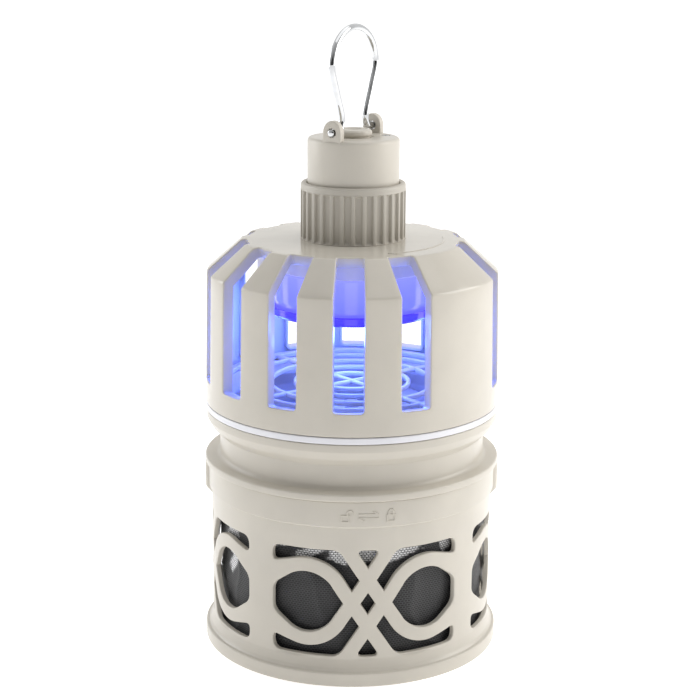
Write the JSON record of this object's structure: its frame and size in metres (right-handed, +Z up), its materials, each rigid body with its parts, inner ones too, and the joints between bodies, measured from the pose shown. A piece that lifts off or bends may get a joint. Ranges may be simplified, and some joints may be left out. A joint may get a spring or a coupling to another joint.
{
  "type": "electric insect trap",
  "caption": "Hanging light and fan insect trap: slotted cage with a blue lamp ring, ribbed locking collar and wire bail above, suction fan, lattice basket with a net liner below.",
  "frame": {"origin": "centre of the basket's underside, on the plane that the trap stands on", "axes": "+Z up through the hanging loop, -Y the front, +X to the right seen from the front"},
  "size_m": [0.1552, 0.1552, 0.3225],
  "materials": {
    "cream_plastic": "satin moulded",
    "white_plastic": "gloss",
    "black_plastic": "fine grain",
    "net_fabric": "fine woven mesh",
    "blue_lens": "translucent, glossy",
    "blue_rim": "translucent, glossy",
    "uv_glass": "translucent diffuser",
    "circuit_board": "solder mask",
    "seal_rubber": "matt",
    "chrome_wire": "polished",
    "steel": "zinc plated",
    "contact_brass": "plain",
    "ferrite": "sintered",
    "copper_winding": "enamelled winding"
  },
  "bodies": {
    "housing": {"lower_housing": "cream_plastic", "light_band": "white_plastic", "upper_cage": "cream_plastic", "air_duct": "cream_plastic", "fan_guard": "cream_plastic", "guard_screw_1": "steel", "guard_screw_2": "steel", "guard_screw_3": "steel", "guard_screw_4": "steel", "lead_channel": "cream_plastic", "motor_mount": "black_plastic", "motor_can": "steel", "motor_stator": "copper_winding", "motor_bearing_1": "contact_brass", "motor_bearing_2": "contact_brass", "motor_screw_1": "steel", "motor_screw_2": "steel", "motor_screw_3": "steel", "lamp_housing": "cream_plastic", "lamp_screw_1": "steel", "lamp_screw_2": "steel", "lamp_screw_3": "steel", "led_board": "circuit_board", "lamp_lens": "blue_lens", "lens_rim": "blue_rim", "contact_block": "contact_brass"},
    "fan": {"motor_magnet": "ferrite", "motor_shaft": "steel", "fan_rotor": "black_plastic", "hub_cap": "black_plastic"},
    "lamp_module": {"stem": "cream_plastic", "cap_seal": "seal_rubber", "driver_board": "circuit_board", "transformer": "ferrite", "capacitor": "black_plastic", "lamp_socket": "white_plastic", "uv_bulb": "uv_glass", "stem_contact_1": "contact_brass", "stem_contact_2": "contact_brass", "top_cap": "cream_plastic", "cap_screw": "steel", "cord_gland": "cream_plastic"},
    "collar": {"collar": "cream_plastic"},
    "bail": {"bail": "chrome_wire"},
    "liner": {"net_liner": "net_fabric", "liner_hoop": "black_plastic"},
    "basket": {"basket": "cream_plastic", "base_tray": "cream_plastic"}
  },
  "joints": [
    {"name": "fan_spin", "type": "hinge", "parent": "housing", "child": "fan", "pos_m": [0, 0, 0.115], "axis": [0, 0, 1], "continuous": true},
    {"name": "lamp_lift", "type": "slide", "parent": "housing", "child": "lamp_module", "axis": [0, 0, 1], "range_m": [0, 0.06]},
    {"name": "collar_twist", "type": "hinge", "parent": "lamp_module", "child": "collar", "pos_m": [0, 0, 0.2276], "axis": [0, 0, 1], "range_deg": [0, 60]},
    {"name": "bail_swing", "type": "hinge", "parent": "lamp_module", "child": "bail", "pos_m": [0, 0, 0.27], "axis": [0.4848, 0.8746, 0], "range_deg": [-90, 90]},
    {"name": "basket_drop", "type": "slide", "parent": "housing", "child": "liner", "axis": [0, 0, -1], "range_m": [0, 0.11]},
    {"name": "basket_twist", "type": "hinge", "parent": "liner", "child": "basket", "pos_m": [0, 0, 0.0483], "axis": [0, 0, 1], "range_deg": [0, 20]}
  ]
}
